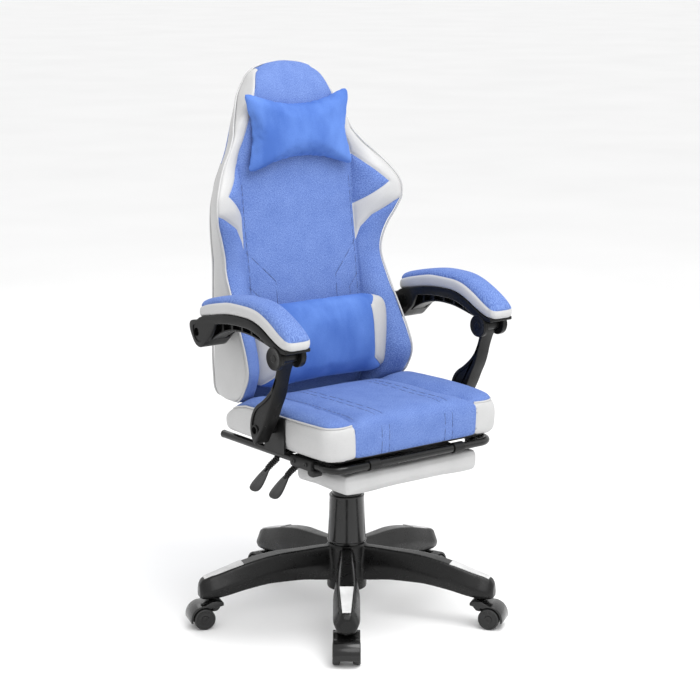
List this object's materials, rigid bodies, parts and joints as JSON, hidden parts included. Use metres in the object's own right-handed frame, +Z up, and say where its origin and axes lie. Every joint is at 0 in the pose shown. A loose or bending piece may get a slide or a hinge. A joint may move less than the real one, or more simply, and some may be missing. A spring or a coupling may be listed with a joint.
{
  "type": "gaming chair",
  "caption": "Swivel gaming chair with winged backrest, linked armrests, head and lumbar pillows, sliding footrest and star base on castors",
  "frame": {"origin": "middle of the floor rectangle under the whole chair, at floor level", "axes": "+Z up, -Y the way the user faces, -X the user's right"},
  "size_m": [0.7414, 0.7122, 1.262],
  "materials": {
    "black_nylon": "moulded black nylon, satin",
    "black_steel": "black powder coat",
    "bright_steel": "turned steel",
    "pale_grey_plastic": "moulded pale grey trim",
    "blue_weave": "melange woven blue upholstery fabric with white leatherette side panels",
    "blue_velour": "short-pile blue velour",
    "white_leatherette": "smooth white leatherette"
  },
  "bodies": {
    "base": {"star_base": "black_nylon", "arm_insert_1": "pale_grey_plastic", "arm_insert_2": "pale_grey_plastic", "arm_insert_3": "pale_grey_plastic", "arm_insert_4": "pale_grey_plastic", "arm_insert_5": "pale_grey_plastic", "gas_cylinder": "black_steel", "cover_lower": "black_nylon"},
    "castor_1": {"castor_hood_1": "black_nylon", "castor_stem_1": "bright_steel"},
    "wheels_1": {"castor_wheel_1a": "black_nylon", "castor_wheel_1b": "black_nylon"},
    "castor_2": {"castor_hood_2": "black_nylon", "castor_stem_2": "bright_steel"},
    "wheels_2": {"castor_wheel_2a": "black_nylon", "castor_wheel_2b": "black_nylon"},
    "castor_3": {"castor_hood_3": "black_nylon", "castor_stem_3": "bright_steel"},
    "wheels_3": {"castor_wheel_3a": "black_nylon", "castor_wheel_3b": "black_nylon"},
    "castor_4": {"castor_hood_4": "black_nylon", "castor_stem_4": "bright_steel"},
    "wheels_4": {"castor_wheel_4a": "black_nylon", "castor_wheel_4b": "black_nylon"},
    "castor_5": {"castor_hood_5": "black_nylon", "castor_stem_5": "bright_steel"},
    "wheels_5": {"castor_wheel_5a": "black_nylon", "castor_wheel_5b": "black_nylon"},
    "cover_stage": {"cover_middle": "black_nylon"},
    "lift": {"gas_rod": "bright_steel", "cover_upper": "black_nylon"},
    "seat": {"tilt_mechanism": "black_steel", "recline_pin": "bright_steel", "seat_pan": "black_steel", "seat_cushion": "blue_weave", "footrest_guide_left": "black_nylon", "footrest_guide_right": "black_nylon", "foot_bolt_left": "bright_steel", "foot_bolt_right": "bright_steel"},
    "back": {"backrest": "blue_weave", "back_bracket": "black_steel", "head_pillow": "blue_velour", "lumbar_pillow": "blue_velour", "rear_pin_left": "bright_steel", "rear_pin_right": "bright_steel"},
    "post_left": {"arm_post_left": "black_nylon", "front_pin_left": "bright_steel"},
    "armrest_left": {"arm_frame_left": "black_nylon", "arm_pad_left": "white_leatherette"},
    "post_right": {"arm_post_right": "black_nylon", "front_pin_right": "bright_steel"},
    "armrest_right": {"arm_frame_right": "black_nylon", "arm_pad_right": "white_leatherette"},
    "footrest": {"footrest_tube": "black_steel"},
    "footrest_flap": {"footrest_board": "black_steel", "footrest_pad": "white_leatherette"},
    "recline_lever": {"recline_lever_rod": "black_steel", "recline_lever_grip": "black_nylon"},
    "height_lever": {"height_lever_rod": "black_steel", "height_lever_grip": "black_nylon"}
  },
  "joints": [
    {"name": "castor_swivel_1", "type": "hinge", "parent": "base", "child": "castor_1", "pos_m": [-0.19985, -0.2795, 0.068], "axis": [0, 0, 1], "continuous": true},
    {"name": "wheel_spin_1", "type": "hinge", "parent": "castor_1", "child": "wheels_1", "pos_m": [-0.21577, -0.30006, 0.02469], "axis": [0.7907, -0.6122, 0], "continuous": true},
    {"name": "castor_swivel_2", "type": "hinge", "parent": "base", "child": "castor_2", "pos_m": [0.17851, -0.29106, 0.068], "axis": [0, 0, 1], "continuous": true},
    {"name": "wheel_spin_2", "type": "hinge", "parent": "castor_2", "child": "wheels_2", "pos_m": [0.19314, -0.31255, 0.02469], "axis": [0.8266, 0.5628, 0], "continuous": true},
    {"name": "castor_swivel_3", "type": "hinge", "parent": "base", "child": "castor_3", "pos_m": [0.30642, 0.06521, 0.068], "axis": [0, 0, 1], "continuous": true},
    {"name": "wheel_spin_3", "type": "hinge", "parent": "castor_3", "child": "wheels_3", "pos_m": [0.33138, 0.07248, 0.02469], "axis": [-0.2798, 0.96, 0], "continuous": true},
    {"name": "castor_swivel_4", "type": "hinge", "parent": "base", "child": "castor_4", "pos_m": [0.00712, 0.29695, 0.068], "axis": [0, 0, 1], "continuous": true},
    {"name": "wheel_spin_4", "type": "hinge", "parent": "castor_4", "child": "wheels_4", "pos_m": [0.00791, 0.32294, 0.02469], "axis": [-0.9995, 0.0305, 0], "continuous": true},
    {"name": "castor_swivel_5", "type": "hinge", "parent": "base", "child": "castor_5", "pos_m": [-0.30578, 0.08391, 0.068], "axis": [0, 0, 1], "continuous": true},
    {"name": "wheel_spin_5", "type": "hinge", "parent": "castor_5", "child": "wheels_5", "pos_m": [-0.33025, 0.0927, 0.02469], "axis": [-0.3379, -0.9412, 0], "continuous": true},
    {"name": "seat_height", "type": "slide", "parent": "base", "child": "lift", "axis": [0, 0, 1], "range_m": [-0.08, 0]},
    {"name": "cover_slide", "type": "slide", "parent": "base", "child": "cover_stage", "axis": [0, 0, 1], "range_m": [-0.04, 0]},
    {"name": "seat_swivel", "type": "hinge", "parent": "lift", "child": "seat", "pos_m": [-0.00272, -0.0249, 0.4], "axis": [0, 0, 1], "continuous": true},
    {"name": "recline", "type": "hinge", "parent": "seat", "child": "back", "pos_m": [-0.00272, 0.1051, 0.43], "axis": [-1, 0, 0], "range_deg": [0, 35]},
    {"name": "post_tilt_left", "type": "hinge", "parent": "seat", "child": "post_left", "pos_m": [0.28428, -0.0909, 0.496], "axis": [-1, 0, 0], "range_deg": [0, 45]},
    {"name": "arm_pivot_left", "type": "hinge", "parent": "post_left", "child": "armrest_left", "pos_m": [0.28428, -0.1869, 0.674], "axis": [-1, 0, 0], "range_deg": [-32, 0]},
    {"name": "post_tilt_right", "type": "hinge", "parent": "seat", "child": "post_right", "pos_m": [-0.28972, -0.0909, 0.496], "axis": [-1, 0, 0], "range_deg": [0, 45]},
    {"name": "arm_pivot_right", "type": "hinge", "parent": "post_right", "child": "armrest_right", "pos_m": [-0.28972, -0.1869, 0.674], "axis": [-1, 0, 0], "range_deg": [-32, 0]},
    {"name": "footrest_slide", "type": "slide", "parent": "seat", "child": "footrest", "axis": [0, -1, 0], "range_m": [0, 0.25]},
    {"name": "footrest_flip", "type": "hinge", "parent": "footrest", "child": "footrest_flap", "pos_m": [-0.00272, -0.2739, 0.428], "axis": [-1, 0, 0], "range_deg": [0, 180]},
    {"name": "recline_lever_lift", "type": "hinge", "parent": "seat", "child": "recline_lever", "pos_m": [-0.09072, -0.0429, 0.421], "axis": [0, 1, 0], "range_deg": [0, 5], "stiffness_Nm_per_rad": 4},
    {"name": "height_lever_lift", "type": "hinge", "parent": "seat", "child": "height_lever", "pos_m": [-0.09072, -0.1169, 0.421], "axis": [0, 1, 0], "range_deg": [0, 5], "stiffness_Nm_per_rad": 4}
  ],
  "couplings": [
    {"joint": "cover_slide", "follows": "seat_height", "ratio": 0.5},
    {"joint": "post_tilt_left", "follows": "recline", "ratio": 1.27},
    {"joint": "arm_pivot_left", "follows": "recline", "ratio": -0.89},
    {"joint": "post_tilt_right", "follows": "recline", "ratio": 1.27},
    {"joint": "arm_pivot_right", "follows": "recline", "ratio": -0.89}
  ]
}
